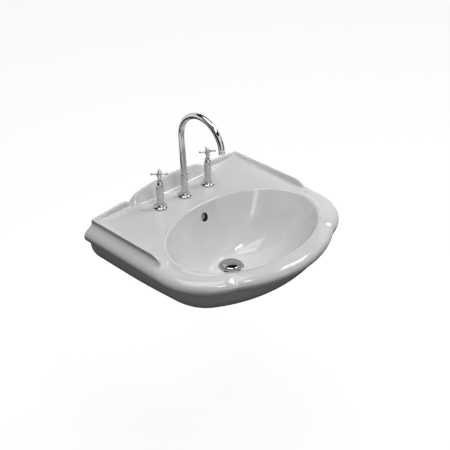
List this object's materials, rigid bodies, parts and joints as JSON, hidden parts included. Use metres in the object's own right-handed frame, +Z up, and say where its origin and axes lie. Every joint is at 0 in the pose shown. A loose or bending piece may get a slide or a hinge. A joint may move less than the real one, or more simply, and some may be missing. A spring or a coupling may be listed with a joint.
{
  "type": "washbasin",
  "caption": "Wall-hung ceramic washbasin with a lobed rolled rim and scalloped back, gooseneck swivel spout, cross-handle valves and a lifting plug waste.",
  "frame": {"origin": "on the wall face, at deck level, on the centre line", "axes": "+X to the user's right, +Y into the wall, +Z up; the front edge is towards -Y"},
  "size_m": [0.67, 0.5808, 0.5856],
  "materials": {
    "vitreous_china": "glossy white glaze",
    "chrome": "polished plate on brass",
    "brass": "machined",
    "steel": "stainless, satin",
    "rubber": "moulded",
    "plastic": "moulded"
  },
  "bodies": {
    "basin_fixed": {"basin": "vitreous_china", "cold_backnut": "brass", "cold_bonnet": "chrome", "cold_cartridge": "brass", "cold_foot": "chrome", "cold_gasket": "rubber", "cold_under_gasket": "rubber", "cold_valve_body": "chrome", "cold_washer": "steel", "hot_backnut": "brass", "hot_bonnet": "chrome", "hot_cartridge": "brass", "hot_foot": "chrome", "hot_gasket": "rubber", "hot_under_gasket": "rubber", "hot_valve_body": "chrome", "hot_washer": "steel", "push_cartridge": "plastic", "spout_backnut": "brass", "spout_collar": "chrome", "spout_column": "chrome", "spout_foot": "chrome", "spout_gasket": "rubber", "spout_tee": "brass", "spout_under_gasket": "rubber", "spout_washer": "steel", "waste_backnut": "brass", "waste_body": "chrome", "waste_top_seal": "rubber", "waste_under_seal": "rubber", "waste_washer": "steel"},
    "hot_handle_turning": {"hot_spindle": "brass", "hot_handle": "chrome", "hot_handle_cap": "chrome", "hot_handle_screw": "steel"},
    "cold_handle_turning": {"cold_spindle": "brass", "cold_handle": "chrome", "cold_handle_cap": "chrome", "cold_handle_screw": "steel"},
    "spout_turning": {"gooseneck": "chrome", "spout_o_rings": "rubber", "aerator_housing": "chrome", "aerator_screen": "plastic"},
    "plug_lifting": {"plug_dome": "chrome", "plug_seal": "rubber", "plug_stem": "chrome"}
  },
  "joints": [
    {"name": "hot_handle_turn", "type": "hinge", "parent": "basin_fixed", "child": "hot_handle_turning", "pos_m": [-0.1, -0.081, 0.118], "axis": [0, 0, 1], "range_deg": [0, 90]},
    {"name": "cold_handle_turn", "type": "hinge", "parent": "basin_fixed", "child": "cold_handle_turning", "pos_m": [0.1, -0.081, 0.118], "axis": [0, 0, 1], "range_deg": [-90, 0]},
    {"name": "spout_swivel", "type": "hinge", "parent": "basin_fixed", "child": "spout_turning", "pos_m": [0, -0.081, 0.071], "axis": [0, 0, 1], "range_deg": [-60, 60]},
    {"name": "plug_lift", "type": "slide", "parent": "basin_fixed", "child": "plug_lifting", "axis": [0, 0, 1], "range_m": [0, 0.008]}
  ]
}
